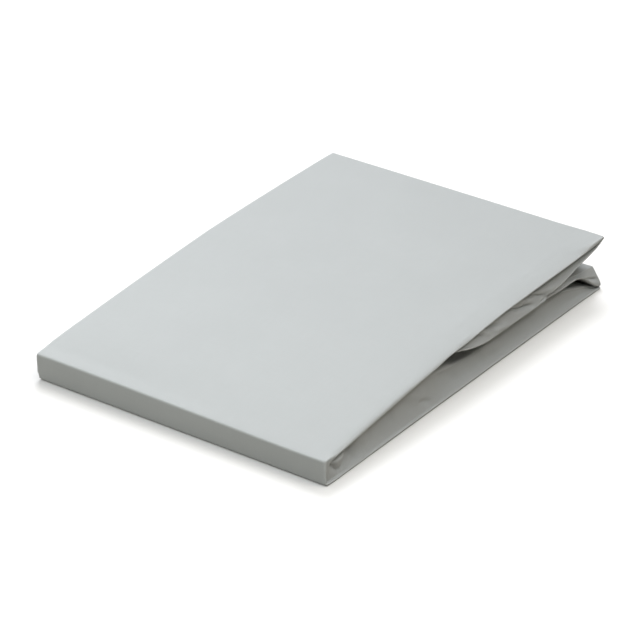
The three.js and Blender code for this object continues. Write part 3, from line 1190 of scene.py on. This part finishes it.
def plain_weave_group() -> bpy.types.NodeTree:
    """Group for a plain weave: threads that pass over and under each other.

    Returns:
        The group, with the threads' height and their own tone, both from 0 to 1.
    """
    tree = new_group(
        "plain weave",
        [("Flat Cloth", "NodeSocketVector"), ("Thread Pitch", "NodeSocketFloat")],
        [("Height", "NodeSocketFloat"), ("Thread Tone", "NodeSocketFloat")],
    )
    make = Sockets(tree)
    given = make.node("NodeGroupInput")
    place = make.node("ShaderNodeVectorMath", operation="SCALE")
    make.feed(place.inputs[0], given.outputs["Flat Cloth"])
    make.feed(place.inputs["Scale"], make.math("DIVIDE", 1.0, given.outputs["Thread Pitch"]))
    parts = make.node("ShaderNodeSeparateXYZ")
    make.feed(parts.inputs[0], place.outputs[0])
    rounds = [
        make.math("ABSOLUTE", make.math("SINE", make.math("MULTIPLY", parts.outputs[i], math.pi)))
        for i in (0, 1)
    ]
    check = make.node("ShaderNodeTexChecker")
    make.feed(check.inputs["Vector"], place.outputs[0])
    check.inputs["Scale"].default_value = 1.0
    height = make.mix(check.outputs["Fac"], rounds[0], rounds[1])
    tones = []
    for stretch in ((1.0, ALONG_THREAD, 1.0), (ALONG_THREAD, 1.0, 1.0)):
        drawn = make.node("ShaderNodeVectorMath", operation="MULTIPLY")
        make.feed(drawn.inputs[0], place.outputs[0])
        make.feed(drawn.inputs[1], stretch)
        tones.append(make.noise(drawn.outputs[0], THREAD_NOISE, 1.0))
    out = make.node("NodeGroupOutput")
    make.feed(out.inputs["Height"], height)
    make.feed(out.inputs["Thread Tone"], make.mix(check.outputs["Fac"], *tones))
    return tree


def cloth_tone_group() -> bpy.types.NodeTree:
    """Group for the cloth's tone: its uneven dye, lighter sharp fold edges, and a painted light
    falloff across the pack.

    Returns:
        The group, with the colour and the roughness over the surface.
    """
    tree = new_group(
        "cloth tone",
        [
            ("Colour", "NodeSocketColor"), ("Place", "NodeSocketVector"),
            ("Thread Tone", "NodeSocketFloat"), ("Fold Edge", "NodeSocketFloat"),
            ("Thread Variation", "NodeSocketFloat"), ("Patch Variation", "NodeSocketFloat"),
            ("Painted Light Falloff", "NodeSocketVector"), ("Bend Lightening", "NodeSocketFloat"),
        ],
        [("Colour", "NodeSocketColor"), ("Roughness", "NodeSocketFloat")],
    )
    make = Sockets(tree)
    given = make.node("NodeGroupInput").outputs
    thread = make.math("SUBTRACT", given["Thread Tone"], 0.5)
    threads = make.math("MULTIPLY", thread, given["Thread Variation"])
    patch = make.math("SUBTRACT", make.noise(given["Place"], PATCH_NOISE, PATCH_DETAIL), 0.5)
    patches = make.math("MULTIPLY", patch, given["Patch Variation"])
    # Painted light: the tone falls off along a direction across the pack, lighter at the front left
    # and darker at the far right, standing in for light that falls off over the top.
    painted_light_falloff = make.node("ShaderNodeVectorMath", operation="DOT_PRODUCT")
    make.feed(painted_light_falloff.inputs[0], given["Place"])
    make.feed(painted_light_falloff.inputs[1], given["Painted Light Falloff"])
    # Colour made lighter on sharp fold edges.
    lighter_bends = make.math("MULTIPLY", given["Fold Edge"], given["Bend Lightening"])
    fine = make.math("ADD", threads, patches)
    broad = make.math("ADD", painted_light_falloff.outputs["Value"], lighter_bends)
    tone = make.math("ADD", 1.0, make.math("ADD", fine, broad))
    colour = make.node("ShaderNodeVectorMath", operation="SCALE")
    make.feed(colour.inputs[0], given["Colour"])
    make.feed(colour.inputs["Scale"], tone)
    out = make.node("NodeGroupOutput")
    make.feed(out.inputs["Colour"], colour.outputs[0])
    smoother = make.math("MULTIPLY", given["Fold Edge"], WORN_SMOOTHNESS)
    make.feed(out.inputs["Roughness"], make.math("SUBTRACT", COTTON_ROUGHNESS, smoother))
    return tree


@dataclass(frozen=True)
class CottonFinish:
    """Finish of the pillowcase: matt plain-woven cotton in one pale grey-green.

    Pitch and depths are in metres, the painted light falloff is the painted change of tone for each
    metre, lighter at the front left and darker at the far right as the light falls off, and the
    variations and the bend lightening are shares of the tone.
    """

    colour: Colour = (0.421, 0.442, 0.448, 1.0)
    thread_pitch: float = 0.00036
    thread_variation: float = 0.10
    patch_variation: float = 0.05
    # Painted light: the tone falls off across the pack, lighter at the front left and darker at the
    # far right, in place of light falling off over the top.
    painted_light_falloff: Triple = (-0.36, -0.72, 0.0)
    # Share by which the colour is made lighter on sharp fold edges.
    bend_lightening: float = 0.13
    weave_depth: float = 0.00004
    rumple_scale: float = 42.0
    rumple_detail: float = 2.0
    rumple_depth: float = 0.00025
    shine: float = 0.2
    sheen: float = 0.12
    sheen_roughness: float = 0.5

    def material(self) -> bpy.types.Material:
        """Builds the material.

        Returns:
            The new material.
        """
        material = bpy.data.materials.new("plain_cotton")
        material.use_nodes = True
        make = Sockets(material.node_tree)
        shader = material.node_tree.nodes["Principled BSDF"]
        flat = make.node("ShaderNodeUVMap", uv_map=FLAT_CLOTH).outputs[0]
        place = make.node("ShaderNodeTexCoord").outputs["Object"]
        edge = make.node("ShaderNodeAttribute", attribute_name=FOLD_EDGE).outputs["Fac"]
        weave = make.node("ShaderNodeGroup", node_tree=plain_weave_group())
        make.feed(weave.inputs["Flat Cloth"], flat)
        weave.inputs["Thread Pitch"].default_value = self.thread_pitch
        tone = make.node("ShaderNodeGroup", node_tree=cloth_tone_group())
        tone.inputs["Colour"].default_value = self.colour
        make.feed(tone.inputs["Place"], place)
        make.feed(tone.inputs["Thread Tone"], weave.outputs["Thread Tone"])
        make.feed(tone.inputs["Fold Edge"], edge)
        tone.inputs["Thread Variation"].default_value = self.thread_variation
        tone.inputs["Patch Variation"].default_value = self.patch_variation
        tone.inputs["Painted Light Falloff"].default_value = self.painted_light_falloff
        tone.inputs["Bend Lightening"].default_value = self.bend_lightening
        make.feed(shader.inputs["Base Color"], tone.outputs["Colour"])
        make.feed(shader.inputs["Roughness"], tone.outputs["Roughness"])
        rumple = make.node("ShaderNodeBump")
        make.feed(rumple.inputs["Height"], make.noise(place, self.rumple_scale, self.rumple_detail))
        rumple.inputs["Distance"].default_value = self.rumple_depth
        threads = make.node("ShaderNodeBump")
        make.feed(threads.inputs["Height"], weave.outputs["Height"])
        make.feed(threads.inputs["Normal"], rumple.outputs["Normal"])
        threads.inputs["Distance"].default_value = self.weave_depth
        make.feed(shader.inputs["Normal"], threads.outputs["Normal"])
        shader.inputs["Specular IOR Level"].default_value = self.shine
        shader.inputs["Sheen Weight"].default_value = self.sheen
        shader.inputs["Sheen Roughness"].default_value = self.sheen_roughness
        return material


# Layers that the creases of one part of the right side are pressed into.
BAND = (Layer.UPPER_END,)
WALL = (Layer.BASE, Layer.SPINE)
PACKET = (Layer.LOWER_END, Layer.LOW_NOSE)

CREASES = (
    Crease(BAND, ((119.5, 22.8), (124.5, 21.1), (129.5, 19.0)), 0.9, -2.2),
    Crease(BAND, ((126.5, 22.6), (131.0, 20.8), (137.0, 17.2)), 1.2, 0.9),
    Crease(BAND, ((132.0, 22.6), (137.0, 20.8), (144.0, 19.2)), 0.8, -1.7),
    Crease(BAND, ((137.0, 18.2), (146.0, 17.8), (153.0, 16.4)), 1.2, 0.8),
    Crease(BAND, ((141.0, 24.6), (147.0, 24.1), (153.0, 23.2)), 1.1, -3.2),
    Crease(
        BAND,
        ((149.0, 24.2), (156.5, 21.6), (162.2, 19.6), (169.2, 18.7), (177.5, 16.0)),
        0.75,
        -1.7,
    ),
    Crease(BAND, ((154.0, 25.2), (160.5, 24.4), (166.5, 22.6), (175.2, 19.4)), 1.3, 1.2),
    Crease(BAND, ((171.0, 25.2), (178.6, 23.7), (185.4, 21.6)), 0.85, -2.6),
    Crease(BAND, ((166.0, 22.2), (176.0, 21.1), (186.6, 17.4), (193.5, 16.6)), 0.55, -1.3),
    Crease(BAND, ((176.0, 22.4), (186.0, 20.2), (197.0, 19.6)), 1.0, 0.8),
    Crease(BAND, ((177.0, 16.2), (191.0, 16.9)), 0.55, -0.9),
    Crease(WALL, ((2.4, 10.4), (5.0, 8.1), (8.1, 4.7), (11.4, 1.8)), 1.0, -1.7, 0.15),
    Crease(WALL, ((10.0, 2.6), (15.0, 4.2), (21.0, 7.8)), 1.3, -1.1),
    Crease(WALL, ((20.8, 4.6), (21.2, 9.8)), 1.3, -1.3),
    Crease(WALL, ((7.0, 9.2), (11.0, 7.2), (17.0, 8.4)), 1.8, 0.8),
    Crease(WALL, ((25.0, 10.0), (36.0, 7.0)), 2.4, 0.8),
    Crease(WALL, ((44.0, 14.0), (58.0, 9.0)), 2.6, -0.9),
    Crease(WALL, ((66.0, 14.0), (84.0, 8.0)), 2.8, 0.8),
    Crease(WALL, ((76.0, 7.2), (81.3, 5.2), (86.0, 2.8)), 1.1, -0.9),
    Crease(WALL, ((92.0, 12.0), (112.0, 6.0)), 3.0, -0.8),
    Crease(WALL, ((128.0, 10.5), (150.0, 6.0)), 3.0, 0.8),
    Crease(WALL, ((160.0, 12.0), (182.0, 6.0)), 2.8, -0.7),
    Crease(PACKET, ((215.0, 13.6), (224.6, 10.4), (231.0, 7.9), (239.0, 4.4)), 0.6, -1.3, 0.2),
    Crease(PACKET, ((184.0, 16.8), (197.0, 16.9), (208.0, 16.2)), 0.7, 0.9),
    Crease(PACKET, ((213.0, 18.0), (222.9, 16.1), (231.9, 14.1)), 0.6, -0.9),
)


def main() -> None:
    """Builds the pieces in order and reports each."""
    logging.basicConfig(level=logging.INFO, format="%(message)s")
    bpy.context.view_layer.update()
    low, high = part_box(NODE)
    sizes = PackSizes()
    corner = Vector((high[0] - sizes.width * MM, high[1] - sizes.length * MM, 0.0))
    cloth = FoldedCloth(sizes=sizes, creases=CREASES).build(corner)
    cloth.data.materials.append(CottonFinish().material())
    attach(cloth, BODY)
    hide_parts(NODE)
    log.info("cloth: %d faces", len(cloth.data.polygons))
    studio = Studio(StudioSizes())
    studio.camera()
    studio.floor()
    studio.lights()


if __name__ == "__main__":
    main()
